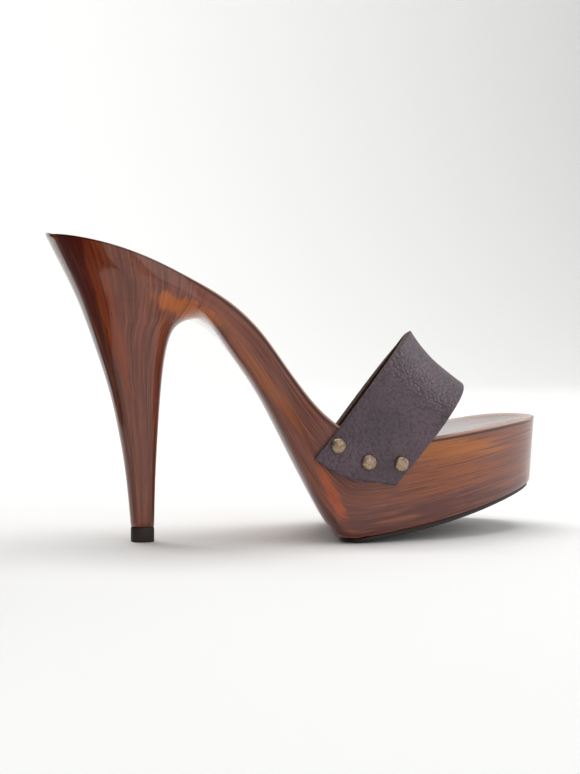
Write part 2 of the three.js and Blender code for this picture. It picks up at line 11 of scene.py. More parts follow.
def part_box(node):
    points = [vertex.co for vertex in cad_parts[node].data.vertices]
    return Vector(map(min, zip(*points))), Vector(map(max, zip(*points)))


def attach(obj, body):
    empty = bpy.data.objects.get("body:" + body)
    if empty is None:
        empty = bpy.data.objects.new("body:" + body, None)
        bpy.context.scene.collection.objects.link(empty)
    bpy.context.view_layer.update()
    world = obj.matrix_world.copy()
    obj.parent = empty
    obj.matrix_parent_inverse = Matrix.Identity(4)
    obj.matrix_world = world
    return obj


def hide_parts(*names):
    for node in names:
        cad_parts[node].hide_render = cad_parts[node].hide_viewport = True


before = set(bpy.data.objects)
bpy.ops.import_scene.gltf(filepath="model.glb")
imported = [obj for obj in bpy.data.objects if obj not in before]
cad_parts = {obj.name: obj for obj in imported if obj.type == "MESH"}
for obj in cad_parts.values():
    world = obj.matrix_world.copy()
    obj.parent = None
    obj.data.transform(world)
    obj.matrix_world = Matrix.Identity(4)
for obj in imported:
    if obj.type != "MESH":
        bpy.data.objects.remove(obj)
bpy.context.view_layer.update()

# The camera stands to the outer side and a little behind the shoe, low over the floor, as the
# photographer's did. Only its lens is longer, so that the one shoe fills the frame.
camera_place = Vector((-0.2347, -0.6338, 0.0854))
camera_turn = math.radians(-19.9)  # its azimuth, 0 looks along +Y
camera_dip = math.radians(2.0)  # how far it looks down
camera_data = bpy.data.cameras.new("studio_camera")
camera_data.lens = 75.0
camera_data.clip_start = 0.01
camera = bpy.data.objects.new("studio_camera", camera_data)
camera.location = camera_place
camera.rotation_euler = (math.pi / 2 - camera_dip, 0, camera_turn)
bpy.context.scene.collection.objects.link(camera)
bpy.context.scene.camera = camera


# The studio: a sweep of matt white paper that rises behind the shoe, a grey room, and softboxes.
def linear(hex_colour):
    """An sRGB hex colour as the linear values that a shader takes."""
    parts = [int(hex_colour[k : k + 2], 16) / 255 for k in (1, 3, 5)]
    return tuple(c / 12.92 if c <= 0.04045 else ((c + 0.055) / 1.055) ** 2.4 for c in parts) + (1.0,)


def add_node(tree, kind, settings=None, **inputs):
    """Adds a shader node. settings are its properties; inputs are values, or sockets to link."""
    made = tree.nodes.new(kind)
    for name, value in (settings or {}).items():
        setattr(made, name, value)
    for name, value in inputs.items():
        key = int(name[1:]) if name[0] == "_" else name.replace("_", " ")
        socket = made.inputs[key]
        if isinstance(value, bpy.types.NodeSocket):
            tree.links.new(value, socket)
        else:
            socket.default_value = value
    return made


def new_material(name):
    """An empty node material with its output node."""
    material = bpy.data.materials.new(name)
    material.use_nodes = True
    material.node_tree.nodes.clear()
    return material, material.node_tree


def add_surface(tree, **inputs):
    """Adds a surface shader with these inputs and joins it to the material's output."""
    shader = add_node(tree, "ShaderNodeBsdfPrincipled", **inputs)
    add_node(tree, "ShaderNodeOutputMaterial", Surface=shader.outputs[0])


def mesh_piece(name, points, faces):
    """A mesh object, linked to the scene, from points and faces."""
    mesh = bpy.data.meshes.new(name)
    mesh.from_pydata([tuple(p) for p in points], [], faces)
    piece = bpy.data.objects.new(name, mesh)
    bpy.context.scene.collection.objects.link(piece)
    for face in mesh.polygons:
        face.use_smooth = True
    return piece


paper_half_width = 4.0
bend_at, bend_radius, bend_steps = 1.6, 0.8, 12
paper_profile = [(-4.0, 0.0), (bend_at, 0.0)]
for k in range(1, bend_steps + 1):
    angle = math.radians(90 * k / bend_steps)
    bend_y = bend_at + bend_radius * math.sin(angle)
    paper_profile.append((bend_y, bend_radius - bend_radius * math.cos(angle)))
paper_profile.append((2.4, 3.2))
paper_points = [(x, y, z) for y, z in paper_profile for x in (-paper_half_width, paper_half_width)]
paper_faces = [(2 * k, 2 * k + 1, 2 * k + 3, 2 * k + 2) for k in range(len(paper_profile) - 1)]
paper = mesh_piece("paper_sweep", paper_points, paper_faces)
seamless_paper, tree = new_material("seamless_paper_matt_white")
add_surface(tree, Base_Color=linear("#F4F4F2"), Roughness=0.85)
paper.data.materials.append(seamless_paper)

world = bpy.data.worlds.new("grey_room")
world.use_nodes = True
world.node_tree.nodes["Background"].inputs["Color"].default_value = linear("#E8E8EA")
world.node_tree.nodes["Background"].inputs["Strength"].default_value = 0.38
bpy.context.scene.world = world
bpy.context.scene.view_settings.view_transform = "Standard"

# name, where it stands, where it points, width, height, watts
softboxes = [
    ("front_box", (0.4, -2.0, 0.9), (0.0, 0.0, 0.05), 2.0, 1.6, 12),
    ("right_box", (1.9, 0.1, 0.8), (0.05, 0.0, 0.05), 1.5, 1.4, 12),
    ("top_box", (0.1, 0.2, 2.0), (0.0, 0.0, 0.05), 1.8, 1.6, 24),
    ("back_box", (-0.6, 1.2, 2.0), (0.2, 2.3, 0.6), 1.6, 0.8, 22),
]
for name, place, target, width, height, watts in softboxes:
    light = bpy.data.lights.new(name, "AREA")
    light.shape = "RECTANGLE"
    light.size = width
    light.size_y = height
    light.energy = watts
    lamp = bpy.data.objects.new(name, light)
    lamp.location = place
    lamp.rotation_euler = (Vector(target) - Vector(place)).to_track_quat("-Z", "Y").to_euler()
    bpy.context.scene.collection.objects.link(lamp)

# A black card stands to the left of the shoe, where the lacquer mirrors it and stays deep red.
card_x, card_y, card_top = -0.21, (-0.16, 0.2), 0.2
card_points = [(card_x, card_y[0], 0.001), (card_x, card_y[1], 0.001)]
card_points += [(card_x, card_y[1], card_top), (card_x, card_y[0], card_top)]
black_card = mesh_piece("black_card", card_points, [(0, 1, 2, 3)])
black_paper, tree = new_material("black_paper_matt")
add_surface(tree, Base_Color=linear("#1A1210"), Roughness=0.9)
black_card.data.materials.append(black_paper)
black_card.visible_camera = False
black_card.visible_shadow = False

# The wooden body, carved from one block of beech: footbed, platform, arch and stiletto heel. The maker
# stains it red-brown, brushes it along the form and sprays it with gloss lacquer. Millimetres, measured
# from the heel's back, and the same outlines as in the CAD source.
length = 215.8
seat_height = 124
platform_height = 40.5
toe_rise = 8.5
toe_spring = 20
ball_width = 80
waist_width = 51
seat_width = 56
break_at = 122.5
toe_set_back = 2
seat_round = 29
toe_round = 52
footbed_dish = 1.6
rim_round = 1.1
wall_draft = 0.03
heel_tip_at = 38.5
lift_length = 9
breast_jut = 0.889
lift_width = 8.6
lift_height = 6
outsole_thickness = 1.5
flat_spot = 6
flat_ease = 4
fit_gap = 0.3
edge_power = 2.2
floor_gap = outsole_thickness + fit_gap

# at, rise, toe, under, lift, spring, seat, waist, ball, mid, skew, twist, round, flat
board_rows = [
    (0, 1, 0, 0, 0.702, 0, 1, 0, 0, 0, 0, 0, 0.55, 0.25),
    (0.0671, 0.96, 0, 0.042, 0.737, 0, 1, 0, 0, 0, 0, 0, 0.55, 0.3),
    (0.1229, 0.916, 0, 0.084, 0.766, 0, 1, 0, 0, 0, 0, 0.02, 0.55, 0.35),
    (0.1787, 0.862, 0, 0.133, 0.798, 0, 0.8, 0.2, 0, 0, 0, 0.08, 0.52, 0.4),
    (0.2385, 0.79, 0, 0.188, 0.828, 0, 0.5, 0.5, 0, 0, 0.02, 0.18, 0.48, 0.42),
    (0.2891, 0.728, 0, 0.253, 0.83, 0, 0.2, 0.8, 0, 0, 0.04, 0.26, 0.44, 0.44),
    (0.3397, 0.652, 0, 0.35, 0.79, 0, 0, 1, 0, 0, 0.07, 0.31, 0.42, 0.45),
    (0.3914, 0.531, 0, 0.482, 0.742, 0, 0, 0.97, 0.03, 0, 0.1, 0.335, 0.42, 0.46),
    (0.4316, 0.386, 0, 0.594, 0.672, 0, 0, 0.86, 0.14, 0, 0.12, 0.345, 0.42, 0.46),
    (0.4729, 0.245, 0, 0.692, 0.578, 0, 0, 0.65, 0.35, 0, 0.14, 0.35, 0.42, 0.46),
    (0.5029, 0.156, 0, 0.772, 0.459, 0, 0, 0.48, 0.52, 0, 0.15, 0.35, 0.4, 0.48),
    (0.5328, 0.093, 0, 0.854, 0.285, 0, 0, 0.34, 0.66, 0, 0.16, 0.35, 0.34, 0.5),
    (0.556, 0.052, 0, 0.924, 0.125, 0, 0, 0.24, 0.76, 0, 0.16, 0.34, 0.25, 0.58),
    (0.58, 0.025, 0, 0.975, 0.035, 0, 0, 0.14, 0.86, 0, 0.17, 0.33, 0.15, 0.7),
    (0.604, 0.008, 0, 1.027, 0.005, 0, 0, 0.07, 0.93, 0, 0.17, 0.32, 0.08, 0.82),
    (0.628, 0, 0, 1.08, -0.002, 0.016, 0, 0.02, 0.98, 0.002, 0.18, 0.31, 0.06, 0.9),
    (0.655, 0, 0.02, 1.14, 0, 0.05, 0, 0, 1.005, 0.005, 0.22, 0.31, 0.055, 0.95),
    (0.705, 0, 0.1, 1.28, 0, 0.135, 0, 0, 1.01, 0.012, 0.28, 0.31, 0.05, 0.965),
    (0.778, 0, 0.286, 1.467, 0, 0.28, 0, 0, 1, 0.02, 0.31, 0.31, 0.05, 0.97),
    (0.855, 0, 0.535, 1.662, 0, 0.49, 0, 0, 0.957, 0.034, 0.28, 0.28, 0.05, 0.97),
    (0.933, 0, 0.825, 1.85, 0, 0.755, 0, 0, 0.9, 0.05, 0.18, 0.18, 0.05, 0.97),
    (1, 0, 1, 2, 0, 0.99, 0, 0, 0.85, 0.055, 0, 0, 0.05, 0.97),
]
# back, breast, sweep, jut, wide, reach, round, flat
stem_rows = [
    (0.89, 0.669, 0.808, 0.68, 0.78, 0.85, 0.54, 0.25),
    (0.801, 0.631, 0.652, 0.52, 0.661, 0.72, 0.53, 0.25),
    (0.712, 0.581, 0.53, 0.41, 0.525, 0.6, 0.52, 0.25),
    (0.623, 0.525, 0.424, 0.33, 0.4025, 0.5, 0.51, 0.26),
    (0.542, 0.47, 0.328, 0.28, 0.3, 0.42, 0.5, 0.28),
    (0.445, 0.4025, 0.226, 0.22, 0.2076, 0.34, 0.49, 0.3),
    (0.347, 0.3246, 0.155, 0.165, 0.131, 0.28, 0.48, 0.33),
    (0.229, 0.22, 0.08, 0.09, 0.072, 0.23, 0.46, 0.38),
    (0.119, 0.115, 0.035, 0.035, 0.0254, 0.2, 0.44, 0.44),
    (0, 0, 0, 0, 0, 0.18, 0.42, 0.5),
]

# Columns of a section: ox, oz, ix, iz, half, mid, skew, twist, round, flat, reach
sections = []
breast_top = heel_tip_at + lift_length / 2 + breast_jut * lift_length
for at, rise, toe, under, lift, spring, seat, waist, ball, mid, skew, twist, rounding, flat in board_rows:
    oz = platform_height + rise * (seat_height - platform_height) + toe * toe_rise
    ix = breast_top + under * (break_at - breast_top)
    if under >= 1:
        ix = break_at + (under - 1) * (length - toe_set_back - break_at)
    iz = floor_gap + spring * toe_spring + lift * (oz - floor_gap)
    half = (seat * seat_width + waist * waist_width + ball * ball_width) / 2
    places = (at * length, oz, ix, iz, half, mid * ball_width)
    sections.append(places + (skew, twist, rounding, flat, seat_round))
sections.reverse()
corner = len(sections) - 1
stem_base = lift_height + fit_gap
for back, breast, sweep, jut, wide, reach, rounding, flat in stem_rows:
    ox = (heel_tip_at - lift_length / 2) * (1 - sweep)
    oz = stem_base + back * (seat_height - stem_base)
    ix = heel_tip_at + (0.5 + jut) * lift_length
    iz = stem_base + breast * (seat_height - stem_base)
    half = (lift_width + wide * (seat_width - lift_width)) / 2
    sections.append((ox, oz, ix, iz, half, 0, 0, 0, rounding, flat, reach * seat_round))
last = len(sections) - 1
sections = np.array(sections, float)


def columns(s, sharp=False):
    """All columns at a place s on the list, by a cubic B-spline. A sharp one turns at the heel corner."""
    i = min(int(s), last - 1)
    f = s - i
    low = corner if sharp and i >= corner else 0
    high = corner if sharp and i < corner else last
    total = np.zeros(sections.shape[1])
    weights = ((1 - f) ** 3, 3 * f**3 - 6 * f**2 + 4, -3 * f**3 + 3 * f**2 + 3 * f + 1, f**3)
    for k, weight in zip(range(i - 1, i + 3), weights):
        if k < low:
            value = 2 * sections[low] - sections[2 * low - k]
        elif k > high:
            value = 2 * sections[high] - sections[2 * high - k]
        else:
            value = sections[k]
        total += weight / 6 * value
    return total


def round_off(distance, reach):
    """How an outline rounds off near its end: 0 at the end, 1 from reach onward."""
    u = 1 - min(1.0, max(0.0, distance / reach))
    return (1 - u**edge_power) ** (1 / edge_power)


def ease(value, low, high):
    """A smooth step from 0 at low to 1 at high."""
    u = min(1.0, max(0.0, (value - low) / (high - low)))
    return u * u * (3 - 2 * u)


# The heel's back edge from the floor up, and how far the rounding toward it reaches
back_steps = 200
back_edge = [columns(corner + (last - corner) * k / back_steps, True) for k in range(back_steps + 1)]
back_edge_x, back_edge_z, back_edge_reach = np.array(back_edge)[::-1, [0, 1, 10]].T


def heel_round(x, z):
    """How the body narrows toward the heel's back edge at a place of the side view."""
    return round_off(x - np.interp(z, back_edge_z, back_edge_x), np.interp(z, back_edge_z, back_edge_reach))


class Section:
    """One cross section of the body, from the underside (t = 0) to the footbed's edge (t = 1)."""

    def __init__(self, s):
        self.s = s
        self.ox, self.oz, self.ix, self.iz, self.half, self.mid = columns(s)[:6]
        self.skew, self.twist, self.round, self.flat = columns(s)[6:10]
        turn = columns(s, True)
        self.turn_x = turn[0] - self.ox
        self.turn_z = turn[1] - self.oz
        self.edge = self.half * round_off(length - self.ox, toe_round)
        if s < corner:
            off = max(break_at - self.ix, self.ix - break_at - flat_spot)
            self.iz = floor_gap + max(0.0, self.iz - floor_gap) * ease(off, 0, flat_ease)
        self.depth = math.hypot(self.ox - self.ix, self.oz - self.iz)

    def point(self, t, y, raised=0.0):
        near = t**4
        x = (self.ix + self.twist * y) * (1 - t) + (self.ox + self.skew * y) * t + near * self.turn_x
        return Vector((x, self.mid + y, self.iz * (1 - t) + self.oz * t + near * self.turn_z + raised))

    def width(self, t):
        u = 1 - min(1.0, t / self.round)
        low = self.flat + (1 - self.flat) * (1 - u**edge_power) ** (1 / edge_power)
        middle = self.point(t, 0)
        return self.edge * low * (1 - wall_draft * (1 - t)) * heel_round(middle.x, middle.z)


def place_where(reading, wanted):
    """The place on the list, toe to heel corner, where a reading of the section falls to a value."""
    near, far = 0.0, float(corner)
    for _ in range(32):
        s = (near + far) / 2
        if reading(Section(s)) > wanted:
            near = s
        else:
            far = s
    return (near + far) / 2


def stations(start, end, count):
    """Places on the list, evenly spaced along the footbed's outer edge."""
    fine_steps = 700
    fine = [start + (end - start) * k / fine_steps for k in range(fine_steps + 1)]
    rim = [Section(s) for s in fine]
    points = np.array([v.point(1, v.width(1)) for v in rim])
    run = np.concatenate([[0], np.cumsum(np.linalg.norm(np.diff(points, axis=0), axis=1))])
    return list(np.interp(np.linspace(0, run[-1], count + 1), run, fine))


# From the CAD source's own origin, the heel's back on the floor, to the frame's, in millimetres
body_low, body_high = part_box("wood_body")
source_origin = Vector((body_low.x * 1000, 0, 0))
tip_low, tip_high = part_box("heel_lift")
source_origin.y = (tip_low.y + tip_high.y) / 2 * 1000


def in_frame(point):
    """A point of the source, in millimetres, as a point of the frame, in metres."""
    return (point + source_origin) / 1000


wall_rows, round_rows, flat_rows, rim_rows, dish_rings = 22, 18, 10, 5, 16
board_stations, stem_stations = 190, 64
board_places = stations(0, corner, board_stations)
stem_places = stations(corner, last, stem_stations)[1:]
middle_x = np.array([[s, Section(s).ox + Section(s).turn_x] for s in np.linspace(0, corner, 400)])


def section_at(x):
    """The section whose footbed edge lies at an x in the middle of the shoe."""
    return Section(float(np.interp(-x, -middle_x[:, 1], middle_x[:, 0])))


def footbed_point(x, y):
    """A point of the hollowed footbed above a place of the plan."""
    v = section_at(x)
    for _ in range(5):
        v = section_at(x - v.skew * (y - v.mid))
    edge = max(1e-6, v.width(1))
    share = min(1.0, abs(y - v.mid) / edge)
    dish = footbed_dish * (1 - share**2) * min(1.0, edge / (seat_width / 2))
    return Vector((x, y, v.oz + v.turn_z - dish))


body_points = []
body_faces = []
grain_board = []  # along and across the platform and arch, and a different plank for each side
grain_heel = []  # down and across the heel
heel_share = []
below_rim = []  # how far down the wall from the footbed's edge, below 0 on the rounded edge and the footbed
side_place = []  # its place in the side view
no_rim = 50.0  # stands for any place far below the footbed's edge
wall_grain, heel_grain = 34, 24  # how many millimetres of plank the grain shows across wall and heel

# How far along the body each section lies, measured at the middle of its height
track_places = np.linspace(0, last, 500)
track = [Section(s).point(0.6, 0) for s in track_places]
track_run = np.concatenate([[0], np.cumsum([(b - a).length for a, b in zip(track, track[1:])])])
# The heel's breast from the floor up, and how much further forward the grain runs above its top
breast_line = [Section(s).point(0, 0) for s in np.linspace(corner - 0.5, last, 100)]
breast_x, breast_z = np.array(breast_line)[::-1, [0, 2]].T
breast_slope = 0.28


def add_point(point, s, across, plank, down=no_rim):
    """Keeps a point of the body, in the frame, with where the grain runs through it."""
    body_points.append(in_frame(point))
    below_rim.append(down)
    side_place.append((point.x, point.z, 0.0))
    grain_board.append((np.interp(s, track_places, track_run), across, plank))
    above = max(0.0, point.z - breast_z[-1])
    front = np.interp(point.z, breast_z, breast_x) + above * breast_slope
    behind = np.interp(point.z, back_edge_z, back_edge_x)
    span = (point.x - behind) / max(2.0, front - behind)
    grain_heel.append((seat_height - point.z, span * heel_grain, plank))
    heel_share.append(ease(s, corner - 6.0, corner - 3.4))
    return len(body_points) - 1


side_columns = {}
for side in (-1, 1):
    grid = []
    for s in board_places + stem_places:
        v = Section(s)
        rim = min(rim_round, v.edge * heel_round(v.ox, v.oz) / 2 + (rim_round if s < 8 else 0))
        if s >= corner:
            rim = 0.0
        top = 1 - rim / v.depth
        rows = []
        for k in range(wall_rows + 1):
            rows.append(v.round + (top - v.round) * math.cos(k / wall_rows * math.pi / 2))
        for k in range(1, round_rows + 1):
            rows.append(v.round * (1 - math.sin(k / round_rows * math.pi / 2) ** (2 / edge_power)))
        line = []
        for t in rows:
            t = max(0.0, t)
            down = (1 - t) * v.depth if s < corner else no_rim
            line.append(add_point(v.point(t, side * v.width(t)), s, t * wall_grain, side * 40, down))
        grid.append(line)
    side_columns[side] = grid
    for a, b in zip(grid, grid[1:]):
        for j in range(len(a) - 1):
            body_faces.append((a[j], a[j + 1], b[j + 1], b[j]))

# The underside joins the two walls
under_grid = []
for k, s in enumerate(board_places + stem_places):
    v = Section(s)
    reach = v.width(0)
    line = [side_columns[-1][k][-1]]
    for j in range(1, flat_rows):
        y = reach * (2 * j / flat_rows - 1)
        line.append(add_point(v.point(0, y), s, y - 60, 90))
    line.append(side_columns[1][k][-1])
    under_grid.append(line)
for a, b in zip(under_grid, under_grid[1:]):
    for j in range(flat_rows):
        body_faces.append((a[j], a[j + 1], b[j + 1], b[j]))

# The foot of the stem is closed by a flat face
foot = side_columns[-1][-1] + under_grid[-1][1:-1] + side_columns[1][-1][::-1]
body_faces.append(tuple(foot))

# The rim is rounded into the footbed, whose rings close toward a line down its middle. The line stops
# short of the heel and of the toe.
line_back, line_front = 20, 34
rim_sharp = [Section(s) for s in board_places]
ring = [v.point(1, -v.width(1)) for v in rim_sharp]
ring_places = list(board_places)
ring_walls = [side_columns[-1][k][0] for k in range(len(board_places))]
for k in range(len(board_places) - 2, 0, -1):
    ring.append(rim_sharp[k].point(1, rim_sharp[k].width(1)))
    ring_places.append(board_places[k])
    ring_walls.append(side_columns[1][k][0])
count = len(ring)
previous = ring_walls
for level in range(1, rim_rows + dish_rings + 1):
    current = []
    for i in range(count):
        edge_point = ring[i]
        along = ring[(i + 1) % count] - ring[i - 1]
        inward = Vector((-along.y, along.x, 0)).normalized()
        wall = body_points[ring_walls[i]] * 1000 - source_origin
        drop = wall - edge_point
        rim = drop.length
        flat_start = edge_point - inward * rim
        flat_start = footbed_point(flat_start.x, flat_start.y)
        if level <= rim_rows:
            angle = level / rim_rows * math.pi / 2
            step = flat_start - edge_point
            point = edge_point + drop * (1 - math.sin(angle)) + step * (1 - math.cos(angle))
        else:
            share = (level - rim_rows) / dish_rings
            centre_x = line_back + edge_point.x / length * (length - line_back - line_front)
            target = Vector((centre_x, Section(ring_places[i]).mid, 0))
            plan = flat_start.lerp(target, share)
            point = footbed_point(plan.x, plan.y)
        current.append(add_point(point, ring_places[i], point.y + 60, -90, -level / rim_rows))
    for i in range(count):
        j = (i + 1) % count
        body_faces.append((previous[i], previous[j], current[j], current[i]))
    previous = current

wood = mesh_piece("carved_body", body_points, body_faces)
for name, values in (("grain_board", grain_board), ("grain_heel", grain_heel), ("side_place", side_place)):
    layer = wood.data.attributes.new(name, "FLOAT_VECTOR", "POINT")
    layer.data.foreach_set("vector", np.array(values, np.float32).ravel())
for name, values in (("heel_share", heel_share), ("below_rim", below_rim)):
    layer = wood.data.attributes.new(name, "FLOAT", "POINT")
    layer.data.foreach_set("value", np.array(values, np.float32))


def tidy_mesh(piece):
    """Joins points that meet, drops faces without area and turns the faces outward."""
    distance = 2e-6
    work = bmesh.new()
    work.from_mesh(piece.data)
    bmesh.ops.remove_doubles(work, verts=work.verts, dist=distance)
    bmesh.ops.dissolve_degenerate(work, edges=work.edges, dist=distance / 2)
    bmesh.ops.recalc_face_normals(work, faces=work.faces)
    work.to_mesh(piece.data)
    work.free()
    for face in piece.data.polygons:
        face.use_smooth = True


tidy_mesh(wood)

# Beech, stained and brushed along the form, under gloss lacquer: long red-brown and orange streaks with
# dark pores, seen through a clear coat that mirrors the softboxes over faint ridges of the grain.
lacquered_beech, tree = new_material("lacquered_beech")
board = add_node(tree, "ShaderNodeAttribute", {"attribute_name": "grain_board"}).outputs["Vector"]
heel = add_node(tree, "ShaderNodeAttribute", {"attribute_name": "grain_heel"}).outputs["Vector"]
share = add_node(tree, "ShaderNodeAttribute", {"attribute_name": "heel_share"}).outputs["Fac"]


def streaks(width, run, detail, distortion):
    """Streaks of a width and a run in millimetres, along the platform and arch and down the heel."""
    found = []
    for flow in (board, heel):
        scaled = add_node(
            tree, "ShaderNodeVectorMath", {"operation": "MULTIPLY"}, _0=flow, _1=(1 / run, 1 / width, 1.0)
        )
        found.append(
            add_node(
                tree,
                "ShaderNodeTexNoise",
                Vector=scaled.outputs[0],
                Scale=1.0,
                Detail=detail,
                Roughness=0.55,
                Distortion=distortion,
            ).outputs["Fac"]
        )
    mixed = add_node(tree, "ShaderNodeMix", {"data_type": "FLOAT"}, _0=share, _2=found[0], _3=found[1])
    return mixed.outputs[0]


def between(value, low, high, start=0.0, end=1.0):
    """A value stretched from one range to another, without going past it."""
    return add_node(
        tree,
        "ShaderNodeMapRange",
        {"interpolation_type": "SMOOTHSTEP"},
        Value=value,
        From_Min=low,
        From_Max=high,
        To_Min=start,
        To_Max=end,
    ).outputs[0]


def blend(factor, first, second, kind="MIX"):
    """Two colours mixed by a factor."""
    made = add_node(
        tree, "ShaderNodeMix", {"data_type": "RGBA", "blend_type": kind}, _0=factor, _6=first, _7=second
    )
    return made.outputs[2]


broad = streaks(4.5, 80, 2, 0.2)
medium = streaks(1.5, 45, 2, 0.1)
fine = streaks(0.6, 24, 2, 0.0)
pores = streaks(0.4, 5, 1, 0.0)
stain_and_painted_light = blend(between(broad, 0.35, 0.65), linear("#662C1A"), linear("#80402A"))
stain_and_painted_light = blend(between(medium, 0.54, 0.78, 0.0, 0.45), stain_and_painted_light, linear("#96521E"))
stain_and_painted_light = blend(between(medium, 0.46, 0.28, 0.0, 0.5), stain_and_painted_light, linear("#4C1A10"))
# The side view, in which the painted patches lie
side_view = add_node(tree, "ShaderNodeAttribute", {"attribute_name": "side_place"}).outputs["Vector"]


def patch_share(x, z, long, high, turn, ragged):
    """How far a place of the side view lies inside a ragged oval, 1 in its middle, 0 outside."""
    oval = add_node(
        tree,
        "ShaderNodeMapping",
        {"vector_type": "TEXTURE"},
        Vector=side_view,
        Location=(x, z, 0),
        Rotation=(0, 0, math.radians(turn)),
        Scale=(long, high, 1),
    ).outputs[0]
    reach = add_node(tree, "ShaderNodeVectorMath", {"operation": "LENGTH"}, _0=oval).outputs["Value"]
    push = between(medium, 0.3, 0.7, -ragged, ragged)
    total = add_node(tree, "ShaderNodeMath", {"operation": "ADD"}, _0=reach, _1=push).outputs[0]
    return between(total, 1.2, 0.65)


# Patches of colour over the grain: orange painted highlights above the heel's breast and along the arch,
# dark red painted shade down the heel's back with an orange streak beside it, and orange under the
# platform's rim and dark red low on its side:
# x, z, half length, half height, degrees it leans, how ragged its edge is, strength, colour
stain_and_painted_light_patches = [
    # dark red painted shade down the heel's back, and an orange streak beside it
    (11, 104, 46, 7.5, 108, 0.3, 0.85, "#5E160C"),
    (19, 100, 34, 3.4, 108, 0.35, 0.8, "#96401A"),
    # orange painted highlights above the heel's breast and along the arch
    (51, 93.5, 15, 3.6, -22, 0.35, 1.0, "#B0580A"),
    (82, 66, 30, 2.4, -54, 0.4, 0.6, "#A0500E"),
    (108, 19, 15, 2.4, -66, 0.3, 0.85, "#B04A0C"),
    # orange under the platform's rim, and dark red low on its side
    (160, 36.5, 26, 5.5, 4, 0.5, 0.9, "#A85C0A"),
    (156, 26, 30, 7, 4, 0.5, 0.7, "#8E440E"),
    (165, 13, 26, 7, 10, 0.5, 0.85, "#54140C"),
    (118, 7, 16, 5, 0, 0.5, 0.75, "#54140C"),
]
for x, z, long, high, turn, ragged, strength, colour in stain_and_painted_light_patches:
    inside = patch_share(x, z, long, high, turn, ragged)
    inside = add_node(tree, "ShaderNodeMath", {"operation": "MULTIPLY"}, _0=inside, _1=strength).outputs[0]
    stain_and_painted_light = blend(inside, stain_and_painted_light, linear(colour))
stain_and_painted_light = blend(between(fine, 0.53, 0.7, 0.0, 0.6), stain_and_painted_light, linear("#3C120A"))
stain_and_painted_light = blend(between(fine, 0.46, 0.3, 0.0, 0.35), stain_and_painted_light, linear("#BC6C28"))
stain_and_painted_light = blend(between(pores, 0.68, 0.76, 0.0, 0.8), stain_and_painted_light, linear("#260C08"))
# The colour darkens in a line just under the footbed's rounded edge
rim_line = add_node(tree, "ShaderNodeAttribute", {"attribute_name": "below_rim"}).outputs["Fac"]
rim_near = between(rim_line, 1.1, 1.5)
rim_far = between(rim_line, 2.5, 1.9)
rim_dark = add_node(tree, "ShaderNodeMath", {"operation": "MULTIPLY"}, _0=rim_near, _1=rim_far).outputs[0]
stain_and_painted_light = blend(rim_dark, stain_and_painted_light, linear("#2C0E0A"))
# A pale line on the rounded edge itself is a painted highlight
edge_out = between(rim_line, 0.5, 0.1)
edge_in = between(rim_line, -1.4, -1.0)
painted_edge_highlight = add_node(tree, "ShaderNodeMath", {"operation": "MULTIPLY"}, _0=edge_out, _1=edge_in).outputs[0]
stain_and_painted_light = blend(painted_edge_highlight, stain_and_painted_light, linear("#B98C74"))
ridges = add_node(tree, "ShaderNodeBump", Height=fine, Strength=0.25, Distance=0.00012).outputs[0]
ridges = add_node(tree, "ShaderNodeBump", Height=medium, Strength=0.3, Distance=0.0003, Normal=ridges)
add_surface(
    tree,
    Base_Color=stain_and_painted_light,
    Roughness=0.42,
    IOR=1.33,
    Coat_Weight=1.0,
    Coat_Roughness=0.06,
    Coat_IOR=1.45,
    Normal=ridges.outputs[0],
    Coat_Normal=ridges.outputs[0],
)
wood.data.materials.append(lacquered_beech)
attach(wood, "root")
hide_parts("wood_body")

# The outsole: a sheet of black-brown rubber, cut a little inside the platform's outline and glued
# under it.
outsole_inset = 0.8
outsole_back_round = 14
outsole_back_narrow = 0.3
sole_top = 0.28  # the sheet fills the glue gap but for a hair
sole_half_steps = 12
toe_steps = 72
sole_back = break_at + outsole_inset
sole_flat_end = break_at + flat_spot
sole_toe = length - toe_set_back - outsole_inset
sole_places = [sole_back + 0.35 * k for k in range(6)]
sole_places += [sole_back + 2.3, sole_back + 3, sole_flat_end - 1]
for k in range(toe_steps + 1):
    sole_places.append(sole_flat_end + (sole_toe - sole_flat_end) * math.sin(k / toe_steps * math.pi / 2))
# The sheet's edge from under its top to its underside: inward and down, in millimetres
sole_edge = [(0, -0.4), (0, -0.95), (0.1, -1.25), (0.28, -1.42), (0.55, -1.5)]
edge_ease = sole_edge[-1][0]


def loop_faces(loops):
    """The faces between each closed loop of points and the next."""
    found = []
    for a, b in zip(loops, loops[1:]):
        for j in range(len(a)):
            k = (j + 1) % len(a)
            found.append((a[j], a[k], b[k], b[j]))
    return found


sole_points = []
sole_loops = []
for x in sole_places:
    v = Section(place_where(lambda w: w.ix, x))
    u = 1 - min(1.0, max(0.0, (x - sole_back) / outsole_back_round))
    narrow = 1 - outsole_back_narrow * (1 - math.sqrt(1 - u * u))
    wide = (v.half * (1 - wall_draft) - outsole_inset) * narrow
    wide *= round_off(sole_toe - x, toe_round - outsole_inset)
    loop = []
    for j in range(-sole_half_steps, sole_half_steps + 1):
        loop.append(v.point(0, wide * j / sole_half_steps, sole_top - fit_gap))
    for inward, down in sole_edge:
        loop.append(v.point(0, max(0, wide - inward), down - fit_gap))
    for j in range(sole_half_steps - 1, -sole_half_steps, -1):
        y = max(0, wide - edge_ease) * j / sole_half_steps
        loop.append(v.point(0, y, -outsole_thickness - fit_gap))
    for inward, down in reversed(sole_edge):
        loop.append(v.point(0, -max(0, wide - inward), down - fit_gap))
    start = len(sole_points)
    sole_points += [in_frame(p) for p in loop]
    sole_loops.append(list(range(start, start + len(loop))))
sole_faces = loop_faces(sole_loops) + [tuple(sole_loops[0]), tuple(sole_loops[-1])]
sole = mesh_piece("rubber_outsole", sole_points, sole_faces)
tidy_mesh(sole)

